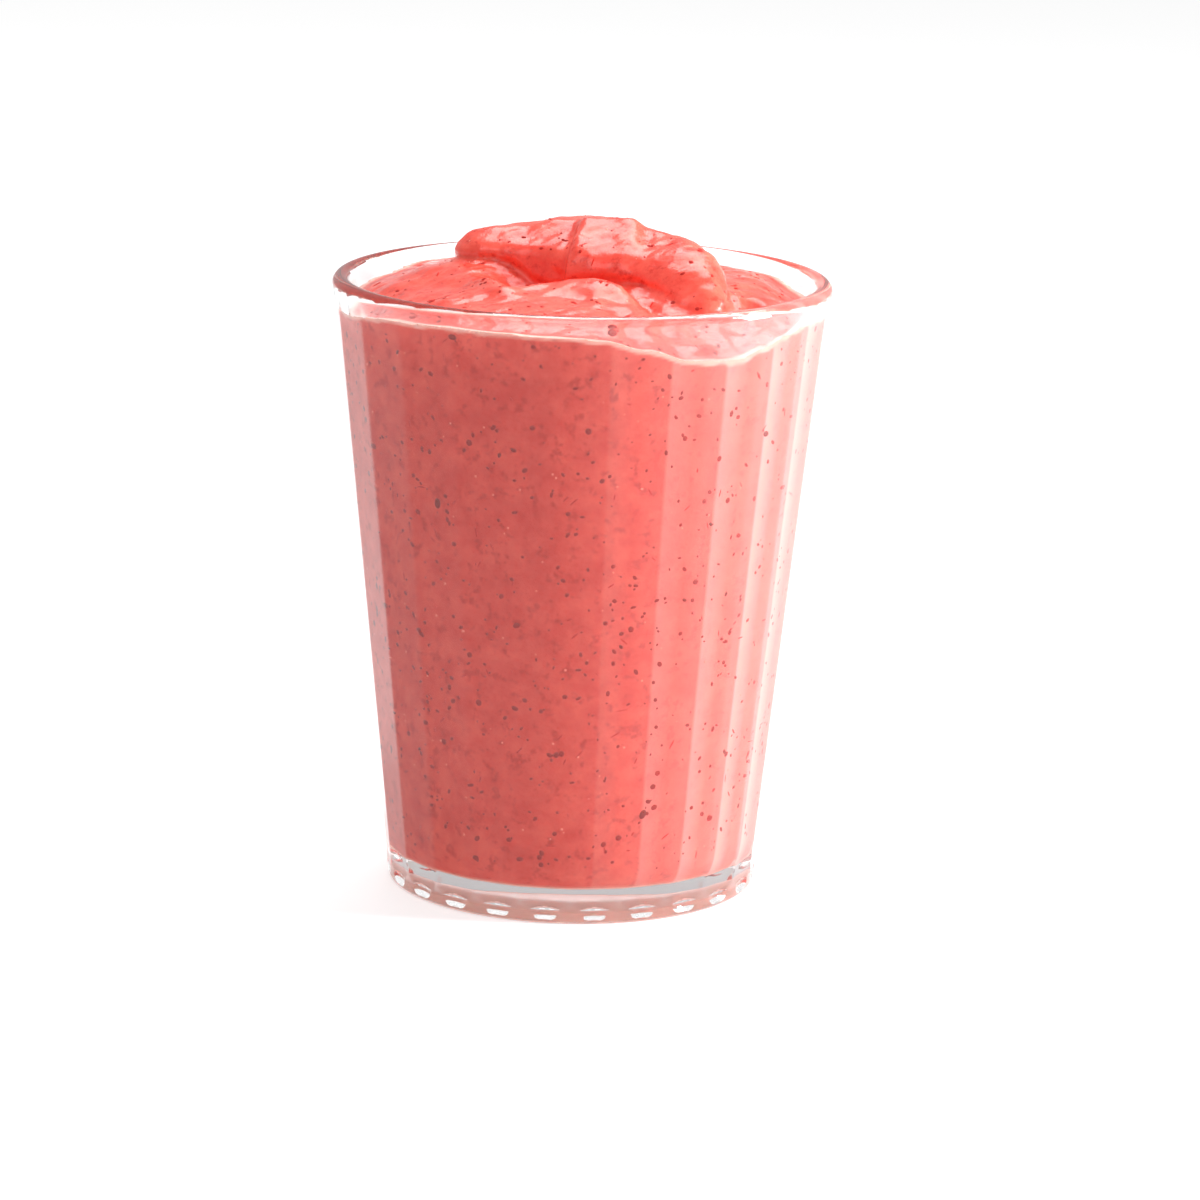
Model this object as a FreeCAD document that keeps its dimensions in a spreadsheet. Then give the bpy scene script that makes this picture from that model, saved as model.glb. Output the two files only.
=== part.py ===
import FreeCAD, Part
import Sketcher
import math
import os

# A strawberry smoothie in its glass: a tapered pressed-glass tumbler with flat panels cut
# round the outside and a row of oval thumbprints at the foot, and the thick drink that
# fills it and stands in a folded swirl above the rim.
# Frame: millimetres, +Z up, the foot's middle at the origin. Azimuth is counted from the
# front (-Y) towards the right (+X).

doc = FreeCAD.newDocument("smoothie_in_tumbler")
sheet = doc.addObject("Spreadsheet::Sheet", "Sizes")

SIZES = [
    # tumbler
    ("glass_height", 111.0, "foot to the top of the rim"),
    ("rim_diameter", 90.0, "where the wall line meets the top"),
    ("foot_diameter", 66.8, "where the wall line meets the table"),
    ("wall", 3.2, "thickness of the rim, which is rolled to a full round"),
    ("lower_wall", 3.6, "level thickness of the wall just above the floor"),
    ("floor_height", 5.5, "table to the drink"),
    ("corner_radius", 6.0, "inside, between the wall and the floor"),
    ("foot_round", 1.1, "outside, between the wall and the table"),
    ("kick_radius", 25.0, "flat hollow under the foot"),
    ("kick_height", 1.2, "how high that hollow is"),
    ("kick_slope", 3.5, "level width of its sloping edge"),
    ("panel_count", 24, "flat panels round the outside"),
    ("panel_low", 4.4, "where the straight part of a panel starts"),
    ("panel_top_gap", 3.2, "from the straight part's end to the top of the rim"),
    ("arch_radius", 3.0, "how a panel runs out at its arched top"),
    ("tongue_radius", 14.0, "how it runs out at its rounded foot"),
    ("print_height", 2.15, "middle of a thumbprint over the table"),
    ("print_width", 5.0, "thumbprint, round the foot"),
    ("print_tall", 2.2, "thumbprint, up and down"),
    ("print_depth", 0.45, "thumbprint, into the glass"),
    # drink
    ("level_at_wall", 107.3, "where the drink meets the glass"),
    ("level_at_centre", 112.3, "top of the heaped drink under the fold"),
    ("dip_depth", 5.2, "how much lower it meets the glass at the dip"),
    ("dip_azimuth", 35.0, "degrees, where the dip is"),
    ("dip_spread", 15.0, "degrees, half its width"),
    ("swirl_pitch", 15.0, "from one turn of the stirred groove to the next"),
    ("swirl_depth", 0.9, "height of its waves"),
    # fold on top
    ("fold_peak", 121.7, "top of the folded swirl"),
    ("fold_left", 22.0, "from the axis to the tip of the left lobe"),
    ("fold_right", 25.0, "from the axis to the outside of the right lobe"),
    ("fold_width", 22.0, "widest, across the fold"),
    ("fold_sink", 1.5, "how far its underside sinks into the heap"),
    ("fold_tip_lift", 3.0, "how much higher the underside lies at the left tip"),
    ("fold_front", 2.0, "how far in front of the axis its straight run lies"),
    ("fold_hook_inside", 0.8, "inside radius of the turn where it drapes down at the right"),
    ("fold_hook_angle", 125.0, "degrees of that turn"),
    ("fold_tail_drop", 11.0, "how much lower the tail's end lies"),
    ("fold_tip_drop", 2.4, "how much lower the left tip lies"),
]

for row, (alias, value, note) in enumerate(SIZES, start=1):
    sheet.set(f"A{row}", alias)
    sheet.set(f"B{row}", str(value))
    sheet.set(f"C{row}", note)
    sheet.setAlias(f"B{row}", alias)
doc.recompute()


def size(alias):
    return float(sheet.get(alias))


def origin_plane(body, role):
    for feature in body.Origin.OriginFeatures:
        if feature.Role == role:
            return feature
    raise ValueError(role)


def new_body(name):
    body = doc.addObject("PartDesign::Body", name)
    body.Label = name
    return body


def new_sketch(body, role, name):
    sketch = body.newObject("Sketcher::SketchObject", name)
    sketch.AttachmentSupport = [(origin_plane(body, role), "")]
    sketch.MapMode = "FlatFace"
    return sketch


def add_line(sketch, start, end):
    first = FreeCAD.Vector(start[0], start[1], 0)
    last = FreeCAD.Vector(end[0], end[1], 0)
    return sketch.addGeometry(Part.LineSegment(first, last), False)


def add_arc(sketch, centre, radius, from_degrees, to_degrees):
    middle = FreeCAD.Vector(centre[0], centre[1], 0)
    circle = Part.Circle(middle, FreeCAD.Vector(0, 0, 1), radius)
    arc = Part.ArcOfCircle(circle, math.radians(from_degrees), math.radians(to_degrees))
    return sketch.addGeometry(arc, False)


def constrain(sketch, kind, *places, expression=None):
    index = sketch.addConstraint(Sketcher.Constraint(kind, *places))
    if expression:
        sketch.setExpression(f"Constraints[{index}]", expression)
    return index


# Sketcher's codes for the places on an edge
START, END, CENTRE = 1, 2, 3
ORIGIN = (-1, 1)
LEVEL_AXIS, UPRIGHT_AXIS = -1, -2


def wall_slope():
    """Level distance that the outside leans out for each millimetre of height."""
    return (size("rim_diameter") - size("foot_diameter")) / 2 / size("glass_height")


def outside_radius(height):
    return size("foot_diameter") / 2 + wall_slope() * height


def lean_offset(radius):
    """Level distance from the wall line to the middle of a circle that touches it inside."""
    return radius * math.sqrt(1 + wall_slope() ** 2)


LEAN = "(Sizes.rim_diameter - Sizes.foot_diameter) / 2 / Sizes.glass_height"
INSIDE_LOW = (
    "Sizes.foot_diameter / 2 - Sizes.lower_wall"
    f" + {LEAN} * (Sizes.floor_height + Sizes.corner_radius)"
)


def touching_circle(radius, height):
    """Expression for the middle of a circle that touches the wall line from inside."""
    return f"Sizes.foot_diameter / 2 + {LEAN} * ({height}) - ({radius}) * sqrt(1 + ({LEAN})^2)"


def place_roll(sketch, rolled, radius, height):
    """Sizes and places the circle that the rim is rolled to."""
    middle = outside_radius(height) - lean_offset(radius)
    constrain(sketch, "Radius", rolled, radius, expression="Sizes.wall / 2")
    constrain(sketch, "DistanceX", *ORIGIN, rolled, CENTRE, middle,
              expression=touching_circle("Sizes.wall / 2", "Sizes.glass_height - Sizes.wall / 2"))
    constrain(sketch, "DistanceY", *ORIGIN, rolled, CENTRE, height,
              expression="Sizes.glass_height - Sizes.wall / 2")


def inside_profile(sketch, top):
    """Inner wall line down from (radius, height), the rounded corner and the flat floor."""
    radius = size("corner_radius")
    corner_height = size("floor_height") + radius
    low = (outside_radius(corner_height) - size("lower_wall"), corner_height)
    wall_line = add_line(sketch, top, low)
    corner = add_arc(sketch, (low[0] - radius, low[1]), radius, 270, 360)
    floor = add_line(sketch, (low[0] - radius, size("floor_height")), (0, size("floor_height")))
    constrain(sketch, "Tangent", wall_line, END, corner, END)
    constrain(sketch, "Tangent", corner, START, floor, START)
    constrain(sketch, "Horizontal", floor)
    constrain(sketch, "PointOnObject", floor, END, UPRIGHT_AXIS)
    constrain(sketch, "Radius", corner, radius, expression="Sizes.corner_radius")
    constrain(sketch, "DistanceY", *ORIGIN, floor, END, size("floor_height"),
              expression="Sizes.floor_height")
    constrain(sketch, "DistanceX", *ORIGIN, wall_line, END, low[0], expression=INSIDE_LOW)
    return wall_line, floor


def tumbler_section(body):
    """Half section of the plain tumbler, before its panels are cut."""
    sketch = new_sketch(body, "XZ_Plane", "TumblerSection")
    roll = size("wall") / 2
    roll_height = size("glass_height") - roll
    roll_middle = outside_radius(roll_height) - lean_offset(roll)
    edge_radius = size("foot_round")
    edge_middle = outside_radius(edge_radius) - lean_offset(edge_radius)
    kick = size("kick_radius")
    ring = kick + size("kick_slope")

    hollow = add_line(sketch, (0, size("kick_height")), (kick, size("kick_height")))
    slope = add_line(sketch, (kick, size("kick_height")), (ring, 0))
    stand = add_line(sketch, (ring, 0), (edge_middle, 0))
    edge = add_arc(sketch, (edge_middle, edge_radius), edge_radius, 270, 355)
    outside = add_line(sketch, (edge_middle + edge_radius, edge_radius),
                       (roll_middle + roll, roll_height))
    rolled = add_arc(sketch, (roll_middle, roll_height), roll, 355, 535)
    inside, floor = inside_profile(sketch, (roll_middle - roll, roll_height))
    axis = add_line(sketch, (0, size("floor_height")), (0, size("kick_height")))

    constrain(sketch, "Coincident", hollow, END, slope, START)
    constrain(sketch, "Coincident", slope, END, stand, START)
    constrain(sketch, "Coincident", floor, END, axis, START)
    constrain(sketch, "Coincident", axis, END, hollow, START)
    constrain(sketch, "Tangent", stand, END, edge, START)
    constrain(sketch, "Tangent", edge, END, outside, START)
    constrain(sketch, "Tangent", outside, END, rolled, START)
    constrain(sketch, "Tangent", rolled, END, inside, START)
    constrain(sketch, "Horizontal", hollow)
    constrain(sketch, "PointOnObject", hollow, START, UPRIGHT_AXIS)
    constrain(sketch, "PointOnObject", slope, END, LEVEL_AXIS)
    constrain(sketch, "PointOnObject", stand, END, LEVEL_AXIS)
    constrain(sketch, "DistanceX", *ORIGIN, slope, START, kick, expression="Sizes.kick_radius")
    constrain(sketch, "DistanceY", *ORIGIN, slope, START, size("kick_height"),
              expression="Sizes.kick_height")
    constrain(sketch, "DistanceX", slope, START, slope, END, ring - kick,
              expression="Sizes.kick_slope")
    constrain(sketch, "Radius", edge, edge_radius, expression="Sizes.foot_round")
    constrain(sketch, "DistanceX", *ORIGIN, edge, CENTRE, edge_middle,
              expression=touching_circle("Sizes.foot_round", "Sizes.foot_round"))
    place_roll(sketch, rolled, roll, roll_height)
    return sketch


def panel_section(body):
    """What one flat panel cuts away, as seen from the side: a long slot with round ends."""
    sketch = new_sketch(body, "XZ_Plane", "PanelSection")
    flat = math.cos(math.pi / size("panel_count"))
    low = (outside_radius(size("panel_low")) * flat, size("panel_low"))
    top_height = size("glass_height") - size("panel_top_gap")
    top = (outside_radius(top_height) * flat, top_height)
    arch, tongue = size("arch_radius"), size("tongue_radius")

    face = add_line(sketch, low, top)
    head = add_arc(sketch, (top[0] + arch, top[1]), arch, 90, 180)
    foot = add_arc(sketch, (low[0] + tongue, low[1]), tongue, 180, 270)
    upper = add_line(sketch, (top[0] + arch, top[1] + arch), (top[0] + tongue, top[1] + arch))
    back = add_line(sketch, (top[0] + tongue, top[1] + arch), (low[0] + tongue, low[1] - tongue))

    constrain(sketch, "Tangent", face, END, head, END)
    constrain(sketch, "Tangent", foot, START, face, START)
    constrain(sketch, "Coincident", head, START, upper, START)
    constrain(sketch, "Coincident", upper, END, back, START)
    constrain(sketch, "Coincident", back, END, foot, END)
    constrain(sketch, "Horizontal", upper)
    constrain(sketch, "Vertical", head, START, head, CENTRE)
    constrain(sketch, "Vertical", foot, END, foot, CENTRE)
    constrain(sketch, "Radius", head, arch, expression="Sizes.arch_radius")
    constrain(sketch, "Radius", foot, tongue, expression="Sizes.tongue_radius")
    flatness = "cos(180 deg / Sizes.panel_count)"
    outer_low = f"(Sizes.foot_diameter / 2 + {LEAN} * Sizes.panel_low)"
    outer_top = f"(Sizes.rim_diameter / 2 - {LEAN} * Sizes.panel_top_gap)"
    constrain(sketch, "DistanceY", *ORIGIN, face, START, low[1], expression="Sizes.panel_low")
    constrain(sketch, "DistanceX", *ORIGIN, face, START, low[0],
              expression=f"{outer_low} * {flatness}")
    constrain(sketch, "DistanceY", *ORIGIN, face, END, top[1],
              expression="Sizes.glass_height - Sizes.panel_top_gap")
    constrain(sketch, "DistanceX", *ORIGIN, face, END, top[0],
              expression=f"{outer_top} * {flatness}")
    constrain(sketch, "DistanceX", head, START, upper, END, tongue,
              expression="Sizes.tongue_radius")
    return sketch


def round_pattern(body, feature, name):
    pattern = body.newObject("PartDesign::PolarPattern", name)
    pattern.Originals = [feature]
    pattern.Axis = (origin_plane(body, "Z_Axis"), [""])
    pattern.Angle = 360
    pattern.setExpression("Occurrences", "Sizes.panel_count")
    body.Tip = pattern
    return pattern


def make_tumbler():
    body = new_body("tumbler")
    section = tumbler_section(body)
    blank = body.newObject("PartDesign::Revolution", "Blank")
    blank.Profile = section
    blank.ReferenceAxis = (origin_plane(body, "Z_Axis"), [""])
    blank.Angle = 360
    doc.recompute()

    panel = body.newObject("PartDesign::Pocket", "Panel")
    panel.Profile = panel_section(body)
    panel.SideType = "Symmetric"
    panel.setExpression("Length", "Sizes.rim_diameter / 2")
    doc.recompute()
    round_pattern(body, panel, "Panels")
    doc.recompute()

    thumb = body.newObject("PartDesign::SubtractiveEllipsoid", "Thumbprint")
    thumb.setExpression("Radius1", "Sizes.print_tall / 2")
    thumb.setExpression("Radius2", "Sizes.print_depth")
    thumb.setExpression("Radius3", "Sizes.print_width / 2")
    thumb.AttachmentSupport = [(origin_plane(body, "XY_Plane"), "")]
    thumb.MapMode = "FlatFace"
    thumb.setExpression(
        "AttachmentOffset.Base.x",
        f"(Sizes.foot_diameter / 2 + {LEAN} * Sizes.print_height)"
        " * cos(180 deg / Sizes.panel_count) * 1 mm",
    )
    thumb.setExpression("AttachmentOffset.Base.z", "Sizes.print_height * 1 mm")
    doc.recompute()
    round_pattern(body, thumb, "Thumbprints")
    return body


def azimuth_of(x, y):
    """Degrees from the front towards the right."""
    return math.degrees(math.atan2(x, -y))


def level_along_wall(azimuth):
    """Where the drink meets the glass: level all round but for one dip."""
    off = (azimuth - size("dip_azimuth") + 180) % 360 - 180
    return size("level_at_wall") - size("dip_depth") * math.exp(-((off / size("dip_spread")) ** 2))


def drink_top(x, y):
    """Height of the heaped drink under the fold: a low dome with a stirred spiral in it."""
    cavity = outside_radius(size("level_at_wall")) - size("wall")
    radius = math.hypot(x, y)
    azimuth = azimuth_of(x, y)
    outward = min(radius / cavity, 1.1) ** 2
    dome = size("level_at_centre") * (1 - outward) + level_along_wall(azimuth) * outward
    turn = 2 * math.pi * radius / size("swirl_pitch") - math.radians(azimuth)
    fade = math.sin(math.pi * min(radius / cavity, 1.0)) ** 2
    return dome + size("swirl_depth") * math.cos(turn) * fade


def make_drink_surface():
    """A block whose top is the drink's surface, wider than the glass and as deep."""
    steps = 36
    half = size("rim_diameter") / 2
    grid = []
    for i in range(steps + 1):
        x = half * (2 * i / steps - 1)
        row = []
        for j in range(steps + 1):
            y = half * (2 * j / steps - 1)
            row.append(FreeCAD.Vector(x, y, drink_top(x, y)))
        grid.append(row)
    top = Part.BSplineSurface()
    top.interpolate(grid)
    block = doc.addObject("Part::Feature", "DrinkSurface")
    block.Shape = top.toShape().extrude(FreeCAD.Vector(0, 0, -2 * size("glass_height")))
    return block


def make_cavity():
    """The inside of the tumbler as a solid, its wall line carried on above the rim."""
    body = new_body("Cavity")
    sketch = new_sketch(body, "XZ_Plane", "CavitySection")
    roll = size("wall") / 2
    roll_height = size("glass_height") - roll
    middle = outside_radius(roll_height) - lean_offset(roll)
    reach = 2 * size("glass_height")
    reach_radius = middle - roll + wall_slope() * (reach - roll_height)
    circle = Part.Circle(FreeCAD.Vector(middle, roll_height, 0), FreeCAD.Vector(0, 0, 1), roll)
    rolled = sketch.addGeometry(circle, True)
    wall_line, floor = inside_profile(sketch, (reach_radius, reach))
    axis = add_line(sketch, (0, size("floor_height")), (0, reach))
    lid = add_line(sketch, (0, reach), (reach_radius, reach))
    place_roll(sketch, rolled, roll, roll_height)
    constrain(sketch, "Tangent", wall_line, rolled)
    constrain(sketch, "Coincident", floor, END, axis, START)
    constrain(sketch, "Coincident", axis, END, lid, START)
    constrain(sketch, "Coincident", lid, END, wall_line, START)
    constrain(sketch, "Vertical", axis)
    constrain(sketch, "Horizontal", lid)
    constrain(sketch, "DistanceY", *ORIGIN, axis, END, reach, expression="2 * Sizes.glass_height")
    room = body.newObject("PartDesign::Revolution", "Room")
    room.Profile = sketch
    room.ReferenceAxis = (origin_plane(body, "Z_Axis"), [""])
    room.Angle = 360
    return body


def smooth_step(value):
    value = min(max(value, 0.0), 1.0)
    return value * value * (3 - 2 * value)


# shares of the fold's length, from the tip of its left lobe to the end of its tail
FOLD_SHOULDER = 0.35
FOLD_BEND = 0.5
FOLD_ENDS = 0.02
FOLD_SECTIONS = 13
# how full the ends are: a smaller power makes a blunter lobe
LOBE_WIDTH_POWER = 0.4
LOBE_THICKNESS_POWER = 0.35
# half the fold's width where it reaches furthest right, as a share of the widest
HOOK_WIDTH_SHARE = 0.42


def fold_section(share):
    """Middle, heading, half width and half thickness of the fold at a share of its length."""
    swell = math.sin(math.pi * share)
    half_width = size("fold_width") / 2 * swell ** LOBE_WIDTH_POWER
    hook = size("fold_hook_inside") + size("fold_width") / 2
    hook_x = size("fold_right") - hook - size("fold_width") * HOOK_WIDTH_SHARE
    hook_y = -size("fold_front") - hook
    straight = hook_x + size("fold_left")
    sweep = math.radians(size("fold_hook_angle"))
    along = share * (straight + hook * sweep)
    turned = max(along - straight, 0.0) / hook
    x = hook_x + hook * math.sin(turned) + min(along - straight, 0.0)
    y = hook_y + hook * math.cos(turned)
    from_tip = max(1 - share / FOLD_SHOULDER, 0.0) ** 2
    fall = size("fold_tail_drop") * smooth_step((share - FOLD_BEND) / (1 - FOLD_BEND))
    upper = size("fold_peak") - size("fold_tip_drop") * from_tip - fall
    lower = size("level_at_centre") - size("fold_sink") + size("fold_tip_lift") * from_tip - fall
    middle = FreeCAD.Vector(x, y, (upper + lower) / 2)
    heading = FreeCAD.Vector(math.cos(turned), -math.sin(turned), 0)
    half_thickness = (upper - lower) / 2 * swell ** LOBE_THICKNESS_POWER
    return middle, heading, half_width, half_thickness


def oval_wire(middle, heading, half_width, half_thickness):
    """An upright oval across the heading."""
    across = heading.cross(FreeCAD.Vector(0, 0, 1)).normalize()
    upward = FreeCAD.Vector(0, 0, 1)
    if half_width >= half_thickness:
        oval = Part.Ellipse(middle + across * half_width, middle + upward * half_thickness, middle)
    else:
        oval = Part.Ellipse(middle + upward * half_thickness, middle - across * half_width, middle)
    return Part.Wire([oval.toShape()])


def make_fold():
    """The thick folded ribbon that lies on the drink and drapes down at the right."""
    wires = []
    for number in range(FOLD_SECTIONS):
        share = FOLD_ENDS + (1 - 2 * FOLD_ENDS) * number / (FOLD_SECTIONS - 1)
        wires.append(oval_wire(*fold_section(share)))
    fold = doc.addObject("Part::Feature", "Fold")
    fold.Shape = Part.makeLoft(wires, True, False)
    return fold


def make_smoothie():
    pool = doc.addObject("Part::Common", "Pool")
    pool.Base = make_cavity()
    pool.Tool = make_drink_surface()
    smoothie = doc.addObject("Part::Fuse", "smoothie")
    smoothie.Label = "smoothie"
    smoothie.Base = pool
    smoothie.Tool = make_fold()
    return smoothie


def check(sub_parts):
    """Stops the build if any feature failed or a sub-part isn't one sound solid."""
    for feature in doc.Objects:
        if "Invalid" in feature.State or "Error" in feature.State:
            raise RuntimeError(f"{feature.Name} failed: {feature.State}")
    for piece in sub_parts:
        shape = piece.Shape
        if shape.isNull() or not shape.isValid() or len(shape.Solids) != 1:
            raise RuntimeError(f"{piece.Label} isn't one valid solid")
        print(piece.Label, "volume", round(shape.Volume / 1000, 2), "cm3")


pieces = [make_tumbler(), make_smoothie()]
doc.recompute()
check(pieces)
os.makedirs("parts", exist_ok=True)
for piece in pieces:
    piece.Shape.exportStep(f"parts/{piece.Label}.step")
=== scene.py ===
"""A strawberry smoothie in a pressed-glass tumbler, on a pale floor.

Lengths are in millimetres until a piece is finished; each piece's mesh is then scaled to metres.
Azimuth is counted from the front (-Y) towards the right (+X).
"""

import math
import random

import bmesh
import bpy
from mathutils import Matrix, Vector, noise
from mathutils.bvhtree import BVHTree


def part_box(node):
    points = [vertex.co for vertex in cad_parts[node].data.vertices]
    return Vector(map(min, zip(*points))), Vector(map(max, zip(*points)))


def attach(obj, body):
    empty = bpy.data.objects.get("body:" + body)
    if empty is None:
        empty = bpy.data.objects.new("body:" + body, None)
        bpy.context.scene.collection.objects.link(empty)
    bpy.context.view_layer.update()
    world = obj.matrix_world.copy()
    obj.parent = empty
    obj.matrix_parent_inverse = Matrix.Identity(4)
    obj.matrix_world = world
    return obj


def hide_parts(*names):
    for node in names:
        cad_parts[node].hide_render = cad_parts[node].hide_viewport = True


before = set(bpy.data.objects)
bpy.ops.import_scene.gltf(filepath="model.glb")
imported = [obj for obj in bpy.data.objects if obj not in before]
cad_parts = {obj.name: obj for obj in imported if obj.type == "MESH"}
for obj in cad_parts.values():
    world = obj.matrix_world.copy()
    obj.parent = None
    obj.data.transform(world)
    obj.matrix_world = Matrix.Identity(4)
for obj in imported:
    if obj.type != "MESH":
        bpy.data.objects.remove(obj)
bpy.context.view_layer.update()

MM = 0.001

# ---------------------------------------------------------------- the tumbler's sizes
GLASS_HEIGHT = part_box("tumbler")[1][2] / MM
RIM_RADIUS = 45.0
FOOT_RADIUS = 33.4
WALL = 3.2
LOWER_WALL = 3.6
FLOOR_HEIGHT = 5.5
CORNER_RADIUS = 6.0
FOOT_ROUND = 1.1
KICK_RADIUS = 25.0
KICK_HEIGHT = 1.2
KICK_SLOPE = 3.5
PANEL_COUNT = 24
PANEL_LOW = 4.4
PANEL_TOP = GLASS_HEIGHT - 8.0
PANEL_RUN_OUT = 6.2
TONGUE_RADIUS = 14.0
PRINT_HEIGHT = 2.15
PRINT_WIDTH = 5.0
PRINT_TALL = 2.2
PRINT_DEPTH = 0.45

# rows of points up the outer wall: from, to, spacing; close together where its shape changes
OUTER_ROWS = ((1.2, 3.4, 0.16), (3.6, 8.0, 0.4), (12.0, 100.0, 8.0), (102.0, GLASS_HEIGHT - 1.8, 0.3))

# ---------------------------------------------------------------- the drink's sizes
LEVEL_AT_WALL = 107.3
LEVEL_AT_CENTRE = 112.3
# the drink reaches this far into the glass, so that no film of air is left between them
INTO_WALL = 0.05
# the swirl is a block that starts here, a little under the top of the body, so the two overlap
SWIRL_FOOT = 97.0

PANEL_ANGLE = 360.0 / PANEL_COUNT
HALF_PANEL = math.radians(PANEL_ANGLE / 2)
LEAN = (RIM_RADIUS - FOOT_RADIUS) / GLASS_HEIGHT
SHARP_EDGE = math.radians(40)


# ---------------------------------------------------------------- mesh helpers
def finish_mesh(bm, name, smooth=True):
    """Turns a bmesh in millimetres into an object in metres at the origin."""
    bmesh.ops.remove_doubles(bm, verts=bm.verts, dist=1e-5)
    bmesh.ops.recalc_face_normals(bm, faces=bm.faces)
    bmesh.ops.scale(bm, vec=(MM, MM, MM), verts=bm.verts)
    for face in bm.faces:
        face.smooth = smooth
    mesh = bpy.data.meshes.new(name)
    bm.to_mesh(mesh)
    bm.free()
    mesh.set_sharp_from_angle(angle=SHARP_EDGE)
    piece = bpy.data.objects.new(name, mesh)
    bpy.context.scene.collection.objects.link(piece)
    return piece


def spin_profile(profile, steps):
    """Spins a list of (radius, height) a whole turn about Z, starting at the front."""
    bm = bmesh.new()
    verts = [bm.verts.new((0.0, -radius, height)) for radius, height in profile]
    edges = [bm.edges.new(pair) for pair in zip(verts, verts[1:])]
    bmesh.ops.spin(bm, geom=verts + edges, cent=(0, 0, 0), axis=(0, 0, 1), dvec=(0, 0, 0),
                   angle=math.tau, steps=steps, use_merge=True)
    bmesh.ops.remove_doubles(bm, verts=bm.verts, dist=1e-5)
    bmesh.ops.recalc_face_normals(bm, faces=bm.faces)
    return bm


def arc_points(centre, radius, from_degrees, to_degrees, steps):
    """Points, as (radius, height), along an arc of a half section."""
    points = []
    for step in range(steps + 1):
        angle = math.radians(from_degrees + (to_degrees - from_degrees) * step / steps)
        points.append((centre[0] + radius * math.cos(angle), centre[1] + radius * math.sin(angle)))
    return points


def even_steps(low, high, spacing):
    """Values from low to high, both included, about as far apart as spacing."""
    count = max(1, round(abs(high - low) / spacing))
    return [low + (high - low) * step / count for step in range(count + 1)]


def smooth_step(value):
    """Eases a share from 0 to 1, held at both ends."""
    value = min(max(value, 0.0), 1.0)
    return value * value * (3 - 2 * value)


def azimuth_of(point):
    """Azimuth of a point in degrees."""
    return math.degrees(math.atan2(point.x, -point.y))


def at_azimuth(radius, degrees, height):
    """The point at a radius, an azimuth and a height."""
    angle = math.radians(degrees)
    return Vector((radius * math.sin(angle), -radius * math.cos(angle), height))


# ---------------------------------------------------------------- the tumbler
def wall_radius(height):
    """Radius of the tumbler's outside before its panels are cut."""
    return FOOT_RADIUS + LEAN * height


def touching_middle(radius, height):
    """Radius of the middle of a circle that touches the wall line from inside."""
    return wall_radius(height) - radius * math.sqrt(1 + LEAN ** 2)


def cavity_line():
    """Top and bottom points, as (radius, height), of the straight inner wall."""
    roll = WALL / 2
    roll_height = GLASS_HEIGHT - roll
    top = (touching_middle(roll, roll_height) - roll, roll_height)
    corner_height = FLOOR_HEIGHT + CORNER_RADIUS
    low = (wall_radius(corner_height) - LOWER_WALL, corner_height)
    return top, low


def cavity_radius(height):
    """Radius of the tumbler's inside."""
    (top_r, top_z), (low_r, low_z) = cavity_line()
    if height < low_z:
        drop = min(low_z - height, CORNER_RADIUS)
        return low_r - CORNER_RADIUS + math.sqrt(CORNER_RADIUS ** 2 - drop ** 2)
    return low_r + (top_r - low_r) * (height - low_z) / (top_z - low_z)


def tumbler_profile():
    """Half section of the tumbler without its panels, from under the foot to the floor."""
    edge_middle = touching_middle(FOOT_ROUND, FOOT_ROUND)
    roll = WALL / 2
    roll_height = GLASS_HEIGHT - roll
    roll_middle = touching_middle(roll, roll_height)
    ring = KICK_RADIUS + KICK_SLOPE
    points = [(0.0, KICK_HEIGHT), (KICK_RADIUS * 0.5, KICK_HEIGHT)]
    points += [(KICK_RADIUS + KICK_SLOPE * t, KICK_HEIGHT * (1 - smooth_step(t)))
               for t in even_steps(0.0, 1.0, 0.2)]
    points += [((ring + edge_middle) / 2, 0.0)]
    points += arc_points((edge_middle, FOOT_ROUND), FOOT_ROUND, 270, 350, 6)
    for low, high, spacing in OUTER_ROWS:
        points += [(wall_radius(height), height) for height in even_steps(low, high, spacing)]
    points += arc_points((roll_middle, roll_height), roll, -5, 175, 16)
    points += [(cavity_radius(height), height) for height in even_steps(106.0, 10.0, 8.0)]
    low = cavity_line()[1]
    points += arc_points((low[0] - CORNER_RADIUS, low[1]), CORNER_RADIUS, 0, -90, 8)
    points += [(15.0, FLOOR_HEIGHT), (0.0, FLOOR_HEIGHT)]
    return points


# where a panel has its upright edges, in degrees from its ridge to its middle
HALF_STATIONS = (0.0, 0.3, 0.7, 1.4, 2.4, 3.2, 4.0, 4.9, 5.8, 6.7)
RIDGE_ROUNDING = math.radians(0.7)


def panel_stations():
    """Angles of a whole panel's upright edges, from one ridge up to the next."""
    mirrored = [PANEL_ANGLE - angle for angle in reversed(HALF_STATIONS[1:])]
    return list(HALF_STATIONS) + [PANEL_ANGLE / 2] + mirrored


def panel_depth_line(height):
    """Distance from the axis of what cuts a panel, at its middle."""
    flat = math.cos(HALF_PANEL)
    if height < PANEL_LOW:
        drop = min(PANEL_LOW - height, TONGUE_RADIUS)
        return wall_radius(PANEL_LOW) * flat + TONGUE_RADIUS - math.sqrt(TONGUE_RADIUS ** 2 - drop ** 2)
    return wall_radius(height) * flat


def panel_radius(height, from_ridge):
    """Radius of a flat panel at an angle from its nearest ridge, with the ridge rounded."""
    reach = panel_depth_line(height)
    if from_ridge >= RIDGE_ROUNDING:
        return reach / math.cos(HALF_PANEL - from_ridge)
    edge = reach / math.cos(HALF_PANEL - RIDGE_ROUNDING)
    slope = edge * math.tan(HALF_PANEL - RIDGE_ROUNDING)
    return edge + slope * (RIDGE_ROUNDING ** 2 - from_ridge ** 2) / (2 * RIDGE_ROUNDING)


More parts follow.
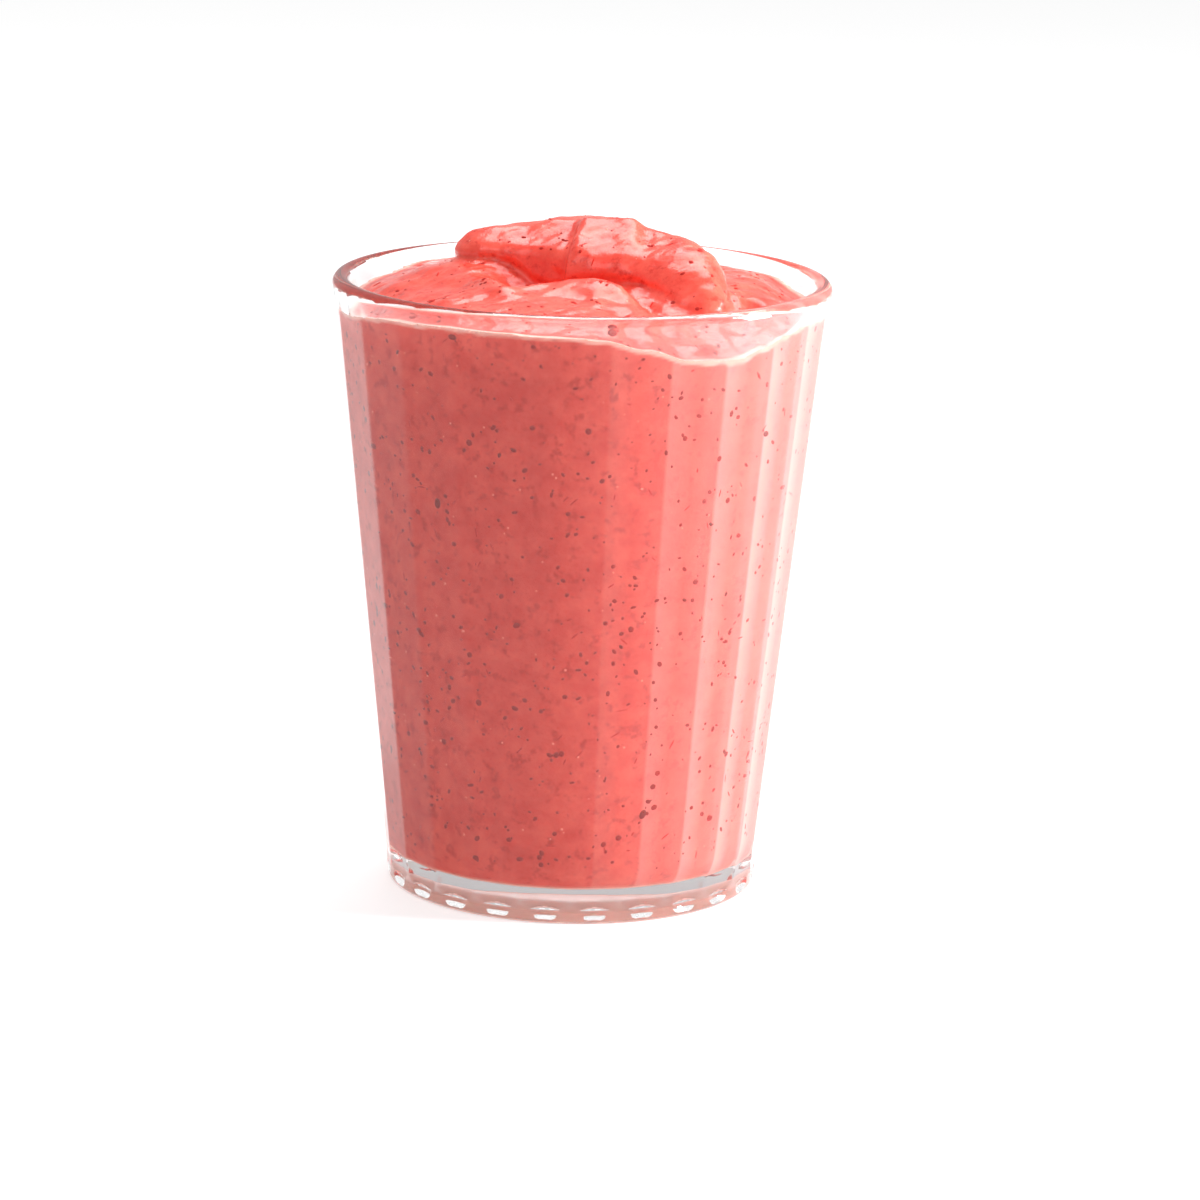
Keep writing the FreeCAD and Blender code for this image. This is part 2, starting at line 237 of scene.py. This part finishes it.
def print_radius(height, from_middle):
    """Radius of a thumbprint's hollow, or None beside it."""
    across = wall_radius(height) * math.sin(from_middle) / (PRINT_WIDTH / 2)
    upward = (height - PRINT_HEIGHT) / (PRINT_TALL / 2)
    inside = 1 - across ** 2 - upward ** 2
    if inside <= 0:
        return None
    face = wall_radius(PRINT_HEIGHT) * math.cos(HALF_PANEL)
    return (face - PRINT_DEPTH * inside ** 1.3) / math.cos(from_middle)


def soft_min(first, second, blend=0.07):
    """The smaller of two radii, with the corner between them slightly fire polished."""
    mix = min(max(0.5 + 0.5 * (second - first) / blend, 0.0), 1.0)
    return second + (first - second) * mix - blend * mix * (1 - mix)


def cut_panels(bm):
    """Moves the outer wall in to the flat panels and the thumbprints."""
    stations = panel_stations()
    per_panel = len(stations)
    step = PANEL_ANGLE / per_panel
    for vert in bm.verts:
        radius = math.hypot(vert.co.x, vert.co.y)
        if radius < 1e-3:
            continue
        count = round(azimuth_of(vert.co) / step)
        panel, place = divmod(count, per_panel)
        angle = stations[place]
        azimuth = panel * PANEL_ANGLE + angle
        if radius > cavity_radius(max(vert.co.z, FLOOR_HEIGHT)) + 1.0 and vert.co.z > 0.01:
            from_ridge = math.radians(min(angle, PANEL_ANGLE - angle))
            fade = smooth_step((vert.co.z - PANEL_TOP) / PANEL_RUN_OUT)
            radius += (soft_min(radius, panel_radius(vert.co.z, from_ridge)) - radius) * (1 - fade)
            thumb = print_radius(vert.co.z, HALF_PANEL - from_ridge)
            if thumb is not None:
                radius = min(radius, thumb)
        vert.co = at_azimuth(radius, azimuth, vert.co.z)


def make_tumbler():
    """The whole tumbler in one piece."""
    bm = spin_profile(tumbler_profile(), PANEL_COUNT * len(panel_stations()))
    cut_panels(bm)
    piece = finish_mesh(bm, "tumbler_pressed_glass")
    piece.data.materials.append(pressed_glass())
    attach(piece, "root")
    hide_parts("tumbler")


# ---------------------------------------------------------------- the drink
# where the drink meets the glass: azimuth in degrees, height
CONTACT_LINE = (
    (-135.0, 108.6), (-120.0, 107.2), (-100.0, 106.6), (-72.0, 105.8), (-50.0, 107.2), (-33.0, 107.5),
    (-8.0, 107.3), (5.0, 106.8), (16.0, 104.9), (27.0, 102.5), (41.0, 102.0), (49.0, 103.7),
    (56.0, 105.2), (66.0, 106.4), (90.0, 106.4), (108.0, 106.6), (124.0, 108.2), (180.0, 107.8),
    (225.0, 108.6),
)


def contact_height(azimuth):
    """Height at which the drink meets the glass, with the steps between points eased."""
    azimuth = (azimuth + 135.0) % 360.0 - 135.0
    for (before, low), (after, high) in zip(CONTACT_LINE, CONTACT_LINE[1:]):
        if before <= azimuth <= after:
            return low + (high - low) * smooth_step((azimuth - before) / (after - before))
    return CONTACT_LINE[0][1]


def drink_body_profile():
    """Half section of the drink up to the foot of its swirl."""
    low = cavity_line()[1]
    points = [(0.0, FLOOR_HEIGHT - INTO_WALL), (14.0, FLOOR_HEIGHT - INTO_WALL)]
    points += arc_points((low[0] - CORNER_RADIUS, low[1]), CORNER_RADIUS + INTO_WALL, -90, 0, 10)
    for height in even_steps(12.0, SWIRL_FOOT + 2.0, 3.0):
        points.append((cavity_radius(height) + INTO_WALL, height))
    points.append((cavity_radius(SWIRL_FOOT + 2.0) - 2.0, SWIRL_FOOT + 2.0))
    points.append((0.0, SWIRL_FOOT + 2.0))
    return points


def finish_drink(piece):
    """Gives a block of the drink its marks and its material, and puts it in the frame."""
    mark_surface(piece)
    piece.data.materials.append(blended_strawberry())
    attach(piece, "root")
    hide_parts("smoothie")


def make_drink_body():
    """The drink inside the glass."""
    finish_drink(finish_mesh(spin_profile(drink_body_profile(), 192), "smoothie_body"))


def read_along(line, place):
    """Value at a place along a line of (place, value) points, straight between them."""
    if place <= line[0][0]:
        return line[0][1]
    for (before, low), (after, high) in zip(line, line[1:]):
        if place <= after:
            return low + (high - low) * (place - before) / (after - before)
    return line[-1][1]


def blend_max(first, second, blend):
    """The greater of two heights, with the crease between them filled over a blend."""
    mix = min(max(0.5 + 0.5 * (first - second) / blend, 0.0), 1.0)
    return second + (first - second) * mix + blend * mix * (1 - mix)


# how far a fold's side falls for each millimetre beyond its edge
CLIFF = 6.0


def edge_drop(inside, radius):
    """How far a rounded edge lies under its fold's top; beyond it the side falls steeply."""
    if inside <= 0:
        return radius - CLIFF * inside
    if inside >= radius:
        return 0.0
    return radius - math.sqrt(radius ** 2 - (radius - inside) ** 2)


def mound(x, y, place):
    """Height that one soft bulge (or, where negative, hollow) adds at a point."""
    middle_x, middle_y, along_x, along_y, turn, height = place
    angle = math.radians(turn)
    dx, dy = x - middle_x, y - middle_y
    u = (dx * math.cos(angle) + dy * math.sin(angle)) / along_x
    v = (dy * math.cos(angle) - dx * math.sin(angle)) / along_y
    return height * math.exp(-(u * u + v * v))


# soft bulges and hollows of the heap: x, y, reach along, reach across, turn in degrees, height
MOUNDS = (
    (-19.0, 0.0, 11.0, 9.0, 0.0, 1.7),
    (-8.0, -6.5, 6.8, 5.4, 14.0, -5.2),
    (-1.0, -11.0, 6.0, 2.2, -8.0, -2.4),
    (3.0, -18.0, 8.0, 4.4, -18.0, 2.3),
    (-2.0, -22.5, 4.5, 3.0, 0.0, -0.5),
    (-16.5, -14.0, 2.4, 7.0, 20.0, 1.6),
    (-20.5, -20.0, 5.0, 2.4, 15.0, 0.8),
    (-12.5, -20.5, 3.0, 2.4, 0.0, 0.8),
    (-8.5, -17.0, 4.0, 1.6, 30.0, 0.7),
    (11.0, -19.0, 6.0, 1.8, -50.0, -2.0),
    (-29.0, 8.0, 7.0, 10.0, 30.0, 1.2),
    (0.0, 26.0, 16.0, 7.0, 0.0, 1.4),
    (29.0, 4.0, 6.0, 10.0, -20.0, 1.0),
    (27.3, -13.5, 1.0, 4.0, 10.0, 1.5),
    (30.3, -12.0, 1.7, 2.2, 0.0, -2.4),
    (33.0, -14.0, 1.2, 3.4, -25.0, 0.9),
    (24.5, -27.0, 1.6, 4.0, 35.0, 0.9),
    (29.5, -23.0, 1.3, 3.2, -30.0, 0.9),
    (19.0, -31.0, 3.2, 1.3, 15.0, 0.7),
)


def heap_height(x, y):
    """The drink's heaped surface under the folds."""
    radius = math.hypot(x, y)
    azimuth = math.degrees(math.atan2(x, -y))
    cavity = cavity_radius(LEVEL_AT_WALL)
    outward = min(radius / cavity, 1.0)
    heap = LEVEL_AT_CENTRE + (contact_height(azimuth) - LEVEL_AT_CENTRE) * outward ** 2
    creep = 0.7 * smooth_step((outward - 0.95) / 0.05) - 0.5 * smooth_step((outward - 0.8) / 0.15)
    free = smooth_step((1.0 - outward) / 0.06)
    return heap + creep + free * sum(mound(x, y, place) for place in MOUNDS)


# front edges of the two folds, as x and y, and how round the right one's front is
LEFT_EDGE = ((-24.0, 5.0), (-22.0, 2.0), (-19.0, 0.3), (-14.0, -0.8), (-8.0, -2.6), (-3.0, -5.0),
             (4.0, -7.0))
RIGHT_EDGE = ((-2.0, -8.0), (1.0, -9.5), (5.0, -10.4), (9.0, -12.5), (13.0, -17.5), (17.0, -23.5),
              (21.0, -27.0), (26.0, -28.0))
RIGHT_SIDE = ((-28.0, 24.0), (-18.0, 26.4), (-8.0, 25.6), (-2.0, 23.0), (4.0, 19.5), (12.0, 14.0))
RIGHT_ROUND = ((0.0, 2.4), (6.0, 2.8), (12.0, 5.5), (18.0, 7.5))


def left_fold(x, y):
    """Top of the broad left fold, which ends blunt at the left."""
    top = 118.3 + 0.13 * (x + 17.0)
    slope = 0.42 * max(6.0 - y, 0.0) + 0.02 * max(y - 6.0, 0.0) ** 2
    front = edge_drop(0.85 * (y - read_along(LEFT_EDGE, x)), 2.0)
    ends = edge_drop(x + 23.6, 5.0) + edge_drop(7.0 - x, 6.0)
    return top - slope - front - ends


def right_fold(x, y):
    """Top of the sheet that overlaps the left fold and drapes down at the right."""
    forward = 3.0 - y - 0.35 * max(x - 5.0, 0.0)
    slope = 0.36 * max(forward, 0.0) + 0.012 * max(forward, 0.0) ** 2
    behind = 0.03 * max(-forward, 0.0) ** 2
    shelf = 1.9 * smooth_step((x - 8.5) / 3.0) * smooth_step((y + 12.0) / 12.0)
    front = edge_drop(0.85 * (y - read_along(RIGHT_EDGE, x)), read_along(RIGHT_ROUND, x))
    left = edge_drop(x + 1.2 + 0.16 * (3.0 - y), 1.8)
    right = edge_drop(0.9 * (read_along(RIGHT_SIDE, y) - x), 8.0)
    return 121.2 - slope - behind - shelf - front - left - right


def swirl_height(x, y):
    """The drink's whole top: heap, left fold and the sheet folded over it."""
    height = blend_max(left_fold(x, y), heap_height(x, y), 1.2)
    return blend_max(right_fold(x, y), height, 0.7 + 2.2 * smooth_step((x - 15.0) / 8.0))


def heap_mesh():
    """The top of the drink as a closed block down to where it meets the body."""
    cavity = cavity_radius(LEVEL_AT_WALL) + INTO_WALL
    profile = [(radius, LEVEL_AT_WALL) for radius in even_steps(0.0, cavity, 0.4)]
    profile += [(cavity_radius(SWIRL_FOOT), SWIRL_FOOT), (0.0, SWIRL_FOOT)]
    bm = spin_profile(profile, 360)
    for vert in bm.verts:
        if vert.co.z > SWIRL_FOOT + 1:
            vert.co.z = swirl_height(vert.co.x, vert.co.y)
    return bm


SWIRL_VOXEL = 0.45
# how deep the foot of a steep fold is pressed in, so that the fold overhangs it
UNDERCUT = 0.9


def apply_modifier(piece, kind, **settings):
    """Adds one modifier and keeps its result as the piece's mesh."""
    modifier = piece.modifiers.new(kind.title(), kind)
    for key, value in settings.items():
        setattr(modifier, key, value)
    bpy.context.view_layer.update()
    graph = bpy.context.evaluated_depsgraph_get()
    mesh = bpy.data.meshes.new_from_object(piece.evaluated_get(graph))
    piece.modifiers.clear()
    old = piece.data
    piece.data = mesh
    bpy.data.meshes.remove(old)


def seat_in_glass(vert):
    """Sets what touches the wall just inside the glass; lower down it hides in the body."""
    radius = math.hypot(vert.co.x, vert.co.y)
    cavity = cavity_radius(vert.co.z)
    if radius > cavity - 0.25:
        hidden = smooth_step((SWIRL_FOOT + 2.2 - vert.co.z) / 0.4)
        scale = (cavity + INTO_WALL - 0.04 * hidden) / radius
        vert.co.x *= scale
        vert.co.y *= scale


def mark_surface(piece):
    """Stores how far each point lies under the glass, and how pale its edge and underside are."""
    under = piece.data.attributes.new("under_glass", "FLOAT", "POINT")
    cream = piece.data.attributes.new("cream", "FLOAT", "POINT")
    for index, vert in enumerate(piece.data.vertices):
        point = vert.co / MM
        gap = cavity_radius(point.z) + INTO_WALL - math.hypot(point.x, point.y)
        below = contact_height(azimuth_of(point)) - point.z
        line = 0.2 + 0.4 * noise.noise(point / 2.5)
        under.data[index].value = 1 - smooth_step((gap - 0.1) / 0.5)
        # the cream edge at the contact line: partly the thin film's own paleness, partly a painted
        # highlight
        edge = smooth_step((1.6 - gap) / 1.0) * (1 - smooth_step((below - line) / 0.6))
        # painted light: the underside is painted cream for light gathered in the glass's foot
        underside = smooth_step((FLOOR_HEIGHT + 0.8 - point.z) / 0.6)
        cream.data[index].value = max(edge, underside)


def unevenness(point):
    """Height of the stirred drink's small waves at a point."""
    broad = noise.noise(point / 9.0 + Vector((3.1, 0.4, 7.7)))
    middle = noise.noise(point / 4.0 + Vector((1.7, 5.2, 0.3)))
    turned = Vector((point.x * 0.8 + point.y * 0.6, point.y * 0.8 - point.x * 0.6, point.z))
    along = Vector((turned.x / 6.0, turned.y / 1.5, turned.z / 1.5))
    streaks = noise.noise(along)
    fine = noise.noise(point / 1.6 + Vector((9.1, 2.2, 4.3)))
    return 0.45 * broad + 0.3 * middle + 0.13 * streaks + 0.07 * fine


def sculpt_swirl(bm):
    """Smooths the remeshed swirl, presses its dents and adds its small waves."""
    for _ in range(3):
        bmesh.ops.smooth_vert(bm, verts=bm.verts, factor=0.5, use_axis_x=True, use_axis_y=True,
                              use_axis_z=True)
    bm.normal_update()
    for vert in bm.verts:
        if vert.co.z < SWIRL_FOOT + 3:
            continue
        radius = math.hypot(vert.co.x, vert.co.y)
        free = smooth_step((cavity_radius(vert.co.z) - 0.5 - radius) / 3.0)
        steep = smooth_step((0.75 - vert.normal.z) / 0.35)
        foot = (vert.co.z - heap_height(vert.co.x, vert.co.y) - 0.7) / 1.1
        inward = Vector((vert.normal.x, vert.normal.y, 0.0))
        vert.co += vert.normal * unevenness(vert.co) * free
        vert.co -= inward * UNDERCUT * free * steep * math.exp(-foot * foot)
    for vert in bm.verts:
        seat_in_glass(vert)


def make_swirl():
    """The drink's heaped and folded top: blocked out, remeshed evenly, then sculpted."""
    rough = finish_mesh(heap_mesh(), "swirl_blocked_out")
    apply_modifier(rough, "REMESH", mode="VOXEL", voxel_size=SWIRL_VOXEL * MM)
    bm = bmesh.new()
    bm.from_mesh(rough.data)
    bpy.data.objects.remove(rough)
    bmesh.ops.scale(bm, vec=(1 / MM, 1 / MM, 1 / MM), verts=bm.verts)
    sculpt_swirl(bm)
    piece = finish_mesh(bm, "smoothie_swirl")
    finish_drink(piece)
    return piece


# ---------------------------------------------------------------- bits in the drink
def add_bit(bm, place, normal, size, turn, detail=1):
    """A lens-shaped bit that lies flat in the surface, of a length, a width and a thickness."""
    upright = normal.to_track_quat("Z", "Y").to_matrix().to_4x4()
    matrix = (Matrix.Translation(place) @ upright @ Matrix.Rotation(turn, 4, "Z")
              @ Matrix.Diagonal((size[0] / 2, size[1] / 2, size[2] / 2, 1.0)))
    bmesh.ops.create_icosphere(bm, subdivisions=detail, radius=1.0, matrix=matrix)


def wall_spots(count, seed):
    """Random places on the drink where it lies against the glass, with their normals."""
    chance = random.Random(seed)
    spots = []
    for _ in range(count):
        azimuth = chance.uniform(-180.0, 180.0)
        height = chance.uniform(9.0, contact_height(azimuth) - 1.2)
        normal = at_azimuth(1.0, azimuth, -LEAN).normalized()
        spots.append((at_azimuth(cavity_radius(height) + INTO_WALL, azimuth, height), normal, chance))
    return spots


def top_spots(swirl, count, seed):
    """Random places on the drink's free top, with their normals."""
    tree = BVHTree.FromPolygons([vert.co / MM for vert in swirl.data.vertices],
                                [face.vertices for face in swirl.data.polygons])
    chance = random.Random(seed)
    spots = []
    while len(spots) < count:
        radius = 39.5 * math.sqrt(chance.random())
        start = at_azimuth(radius, chance.uniform(-180.0, 180.0), 140.0)
        place, normal, _, _ = tree.ray_cast(start, Vector((0, 0, -1)))
        if place is not None:
            spots.append((place, normal, chance))
    return spots


def finish_bits(bm, name, material):
    """Turns joined bits into one piece of the drink."""
    piece = finish_mesh(bm, name)
    piece.data.materials.append(material)
    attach(piece, "root")
    return piece


def make_specks(spots):
    """Crumbs of seed and skin, most of them between half a millimetre and one."""
    bm = bmesh.new()
    for place, normal, chance in spots:
        long = 0.45 + 0.95 * chance.random() ** 2
        size = (long, long * chance.uniform(0.5, 0.95), 0.2)
        add_bit(bm, place, normal, size, chance.uniform(0.0, math.pi))
    finish_bits(bm, "skin_specks", plain_food("strawberry_skin_crumbs", "#a8211a", 0.6))


def make_fibres(spots):
    """Short threads of red pulp."""
    bm = bmesh.new()
    for place, normal, chance in spots:
        size = (chance.uniform(0.7, 2.4), chance.uniform(0.18, 0.4), 0.16)
        add_bit(bm, place, normal, size, chance.gauss(math.pi / 2, 0.8))
    finish_bits(bm, "pulp_fibres", plain_food("red_pulp_threads", "#cf2318", 0.5))


def make_seeds(spots):
    """Whole and broken strawberry seeds: blunt ovals, brown-red."""
    bm = bmesh.new()
    for place, normal, chance in spots:
        long = 0.9 + 1.7 * chance.random() ** 3
        add_bit(bm, place, normal, (long, long * 0.66, 0.3), chance.uniform(0.0, math.pi), detail=2)
    finish_bits(bm, "seeds", plain_food("strawberry_seeds", "#93211a", 0.6))


def make_pale_bits(spots):
    """Tiny air bubbles and crumbs of pale flesh."""
    bm = bmesh.new()
    for place, normal, chance in spots:
        size = chance.uniform(0.2, 0.55)
        add_bit(bm, place, normal, (size, size, 0.16), 0.0)
    finish_bits(bm, "pale_bubbles", plain_food("pale_bubbles", "#ff8f7c", 0.5))


def make_bits(swirl):
    """All the bits, each kind joined into one piece."""
    make_specks(wall_spots(1700, 11) + top_spots(swirl, 260, 12))
    make_fibres(wall_spots(240, 21) + top_spots(swirl, 60, 22))
    make_seeds(wall_spots(40, 31) + top_spots(swirl, 6, 32))
    make_pale_bits(wall_spots(260, 41) + top_spots(swirl, 60, 42))


# ---------------------------------------------------------------- materials
# painted light on the drink behind the glass: paler upright bands and a paler right side.
# Azimuth in degrees where the first band starts, how pale a band and its whole side are,
# and how fast a band rises and fades, per panel
BAND_START = 6.5
BAND_PAINTED_LIGHT = 0.42
SIDE_PAINTED_LIGHT = 0.22
BAND_RISE = 14.0
BAND_FADE = 1.9
# the painted side light grows from this many radians left of the front, and fades out from 90 to 131
# degrees
SIDE_START = 0.05
BACK_FADE = 1.4
BACK_END = 3.2


def linear(code):
    """An sRGB hex colour as linear red, green, blue and full alpha."""
    channels = []
    for start in (1, 3, 5):
        value = int(code[start:start + 2], 16) / 255
        channels.append(value / 12.92 if value <= 0.04045 else ((value + 0.055) / 1.055) ** 2.4)
    return (*channels, 1.0)


def add_node(tree, kind, settings=None, values=None, links=None):
    """Adds a shader node, sets its properties and inputs, and links its inputs."""
    node = tree.nodes.new(kind)
    for key, value in (settings or {}).items():
        setattr(node, key, value)
    for key, value in (values or {}).items():
        node.inputs[key].default_value = value
    for key, socket in (links or {}).items():
        tree.links.new(socket, node.inputs[key])
    return node


def new_material(name):
    """An empty node material and its tree."""
    material = bpy.data.materials.get(name) or bpy.data.materials.new(name)
    material.use_nodes = True
    material.node_tree.nodes.clear()
    return material, material.node_tree


def pressed_glass():
    """Soda-lime glass, pressed and fire polished: clear, colourless, with sharp reflections."""
    material, tree = new_material("pressed_soda_lime_glass")
    shader = add_node(tree, "ShaderNodeBsdfPrincipled", values={
        "Base Color": linear("#f5f5f6"),
        "Roughness": 0.0,
        "IOR": 1.52,
        "Transmission Weight": 1.0,
    })
    add_node(tree, "ShaderNodeOutputMaterial", links={"Surface": shader.outputs["BSDF"]})
    return material


def add_math(tree, operation, first, second=0.0, third=0.0, clamp=False):
    """A Math node of sockets or numbers; gives its output socket."""
    node = add_node(tree, "ShaderNodeMath", settings={"operation": operation, "use_clamp": clamp})
    for index, value in enumerate((first, second, third)):
        if isinstance(value, (int, float)):
            node.inputs[index].default_value = value
        else:
            tree.links.new(value, node.inputs[index])
    return node.outputs["Value"]


def gathered_light(tree, place):
    """Share of painted light on the drink's right side, in an upright band behind each ridge of the glass.

    It is painted light: it stands for light that a pressed glass gathers when its lamp is at the right. It
    is painted into the drink's colour, so it keeps its place if the lamps move.
    """
    split = add_node(tree, "ShaderNodeSeparateXYZ", links={"Vector": place})
    back = add_math(tree, "MULTIPLY", split.outputs["Y"], -1.0)
    turn = add_math(tree, "ARCTAN2", split.outputs["X"], back)
    panels = add_math(tree, "MULTIPLY_ADD", turn, PANEL_COUNT / math.tau, -BAND_START / PANEL_ANGLE)
    share = add_math(tree, "FRACT", panels)
    rise = add_math(tree, "MULTIPLY", share, BAND_RISE, clamp=True)
    fade = add_math(tree, "MULTIPLY_ADD", share, -BAND_FADE, 1.0, clamp=True)
    band = add_math(tree, "MULTIPLY", rise, fade)
    # painted side light: grows from just left of the front and fades out behind the right side
    lit = add_math(tree, "MULTIPLY_ADD", turn, 1.0, SIDE_START, clamp=True)
    behind = add_math(tree, "MULTIPLY_ADD", turn, -BACK_FADE, BACK_END, clamp=True)
    strength = add_math(tree, "MULTIPLY_ADD", band, BAND_PAINTED_LIGHT, SIDE_PAINTED_LIGHT)
    return add_math(tree, "MULTIPLY", add_math(tree, "MULTIPLY", strength, lit), behind)


def mix_colour(mix):
    """The colour that a Mix node set to RGBA gives."""
    return next(socket for socket in mix.outputs if socket.type == "RGBA")


def mix_towards(tree, colour, share, paler):
    """A colour socket mixed towards a fixed colour by a share socket."""
    mix = add_node(tree, "ShaderNodeMix", settings={"data_type": "RGBA"},
                   links={"Factor": share, "A": colour})
    mix.inputs["B"].default_value = linear(paler)
    return mix_colour(mix)


def pulp_colours(tree, place):
    """Clouds of two pinkish reds about 5 mm across, with flecks of deep red pulp of about 2 mm."""
    cloud = add_node(tree, "ShaderNodeTexNoise", links={"Vector": place},
                     values={"Scale": 1 / (5.0 * MM), "Detail": 6.0, "Roughness": 0.68})
    ramp = add_node(tree, "ShaderNodeValToRGB", links={"Fac": cloud.outputs["Fac"]})
    ramp.color_ramp.elements[0].position = 0.35
    ramp.color_ramp.elements[0].color = linear("#e14133")
    ramp.color_ramp.elements[1].position = 0.66
    ramp.color_ramp.elements[1].color = linear("#f25d4c")
    pulp = add_node(tree, "ShaderNodeTexNoise", links={"Vector": place},
                    values={"Scale": 1 / (2.2 * MM), "Detail": 4.0, "Roughness": 0.62})
    fleck = add_node(tree, "ShaderNodeMapRange", links={"Value": pulp.outputs["Fac"]},
                     values={"From Min": 0.34, "From Max": 0.45, "To Min": 0.35, "To Max": 1.0})
    pulpy = add_node(tree, "ShaderNodeMix", settings={"data_type": "RGBA"},
                     links={"Factor": fleck.outputs["Result"], "B": ramp.outputs["Color"]})
    pulpy.inputs["A"].default_value = linear("#c4261b")
    return mix_colour(pulpy)


def blended_strawberry():
    """Blended strawberries with milk: opaque and wet, and light scatters a little way in.

    Under the glass there is no air to reflect from, so the gloss ends there. A thin edge of drink at the
    contact line is cream: partly the thin film's own paleness, partly a painted highlight on its meniscus.
    The underside is painted the same cream, as painted light gathered in the foot.
    """
    found = bpy.data.materials.get("blended_strawberry")
    if found:
        return found
    material, tree = new_material("blended_strawberry")
    place = add_node(tree, "ShaderNodeTexCoord").outputs["Object"]
    cream = add_node(tree, "ShaderNodeAttribute", settings={"attribute_name": "cream"})
    under = add_node(tree, "ShaderNodeAttribute", settings={"attribute_name": "under_glass"})
    # painted light: paler upright bands and a paler right side where the drink lies under the glass
    gathered = add_math(tree, "MULTIPLY", under.outputs["Fac"], gathered_light(tree, place))
    painted_band_colour = mix_towards(tree, pulp_colours(tree, place), gathered, "#ffd2ca")
    # cream share: a pale edge that is partly a painted highlight, and an underside that is painted light
    colour = mix_towards(tree, painted_band_colour, cream.outputs["Fac"], "#ffc0b0")
    fine = add_node(tree, "ShaderNodeTexNoise", links={"Vector": place},
                    values={"Scale": 1 / (0.9 * MM), "Detail": 3.0, "Roughness": 0.55})
    bump = add_node(tree, "ShaderNodeBump", links={"Height": fine.outputs["Fac"]},
                    values={"Strength": 0.3, "Distance": 0.15 * MM})
    wet = add_node(tree, "ShaderNodeMapRange", links={"Value": under.outputs["Fac"]},
                   values={"To Min": 0.6, "To Max": 0.0})
    shader = add_node(tree, "ShaderNodeBsdfPrincipled", values={
        "Roughness": 0.22,
        "IOR": 1.4,
        "Subsurface Weight": 0.25,
        "Subsurface Radius": (1.0, 0.35, 0.25),
        "Subsurface Scale": 1.2 * MM,
    }, links={"Base Color": colour, "Normal": bump.outputs["Normal"],
              "Specular IOR Level": wet.outputs["Result"]})
    add_node(tree, "ShaderNodeOutputMaterial", links={"Surface": shader.outputs["BSDF"]})
    return material


def plain_food(name, colour, roughness):
    """A small bit of fruit in the drink: one colour, opaque and wet."""
    material, tree = new_material(name)
    shader = add_node(tree, "ShaderNodeBsdfPrincipled", values={
        "Base Color": linear(colour),
        "Roughness": roughness,
        "Specular IOR Level": 0.1,
    })
    add_node(tree, "ShaderNodeOutputMaterial", links={"Surface": shader.outputs["BSDF"]})
    return material


def pale_floor():
    """Back-lit white board: an even, nearly white ground that takes a faint soft shadow."""
    material, tree = new_material("lit_white_board")
    shader = add_node(tree, "ShaderNodeBsdfPrincipled", values={
        "Base Color": linear("#c4c4c4"),
        "Roughness": 0.9,
        "Emission Color": linear("#ffffff"),
        "Emission Strength": 0.58,
    })
    add_node(tree, "ShaderNodeOutputMaterial", links={"Surface": shader.outputs["BSDF"]})
    return material


# ---------------------------------------------------------------- stage, lights and camera
def make_floor():
    """A flat ground that runs out of sight."""
    bm = bmesh.new()
    bmesh.ops.create_grid(bm, x_segments=1, y_segments=1, size=3000.0)
    floor = finish_mesh(bm, "floor", smooth=False)
    floor.data.materials.append(pale_floor())


def add_softbox(name, place, target, size, power):
    """A white rectangular lamp at place (mm) that faces the target (mm)."""
    lamp = bpy.data.lights.new(name, "AREA")
    lamp.shape = "RECTANGLE"
    lamp.size = size[0] * MM
    lamp.size_y = size[1] * MM
    lamp.energy = power
    holder = bpy.data.objects.new(name, lamp)
    bpy.context.scene.collection.objects.link(holder)
    holder.location = Vector(place) * MM
    aim = Vector(target) - Vector(place)
    holder.rotation_euler = aim.to_track_quat("-Z", "Y").to_euler()


def make_lights():
    """A tall box at the right, two large soft ones above, and a white room."""
    add_softbox("key_right", (820, -60, 300), (0, 0, 60), (230, 560), 24.0)
    add_softbox("overhead", (120, 330, 820), (0, 0, 110), (620, 520), 5.5)
    add_softbox("front_fill", (-250, -620, 900), (0, 0, 80), (600, 600), 2.2)
    world = bpy.data.worlds.new("studio_white")
    world.use_nodes = True
    tree = world.node_tree
    tree.nodes.clear()
    sky = add_node(tree, "ShaderNodeBackground", values={
        "Color": linear("#ffffff"),
        "Strength": 0.57,
    })
    add_node(tree, "ShaderNodeOutputWorld", links={"Surface": sky.outputs["Background"]})
    bpy.context.scene.world = world
    bpy.context.scene.view_settings.view_transform = "Standard"


CAMERA_PLACE = Vector((0.0, -888.83, 255.78))
CAMERA_AIM = Vector((4.34, 0.0, 51.58))
CAMERA_ROLL = 1.243
CAMERA_LENS = 150.7


def make_camera():
    """A long lens that looks slightly down, with a slight roll."""
    lens = bpy.data.cameras.new("camera")
    lens.lens = CAMERA_LENS
    lens.sensor_width = 36.0
    holder = bpy.data.objects.new("camera", lens)
    bpy.context.scene.collection.objects.link(holder)
    look = (CAMERA_AIM - CAMERA_PLACE).to_track_quat("-Z", "Y").to_matrix().to_4x4()
    roll = Matrix.Rotation(math.radians(CAMERA_ROLL), 4, "Z")
    holder.matrix_world = Matrix.Translation(CAMERA_PLACE * MM) @ look @ roll
    bpy.context.scene.camera = holder


make_camera()
make_lights()
make_floor()
make_tumbler()
make_drink_body()
make_bits(make_swirl())
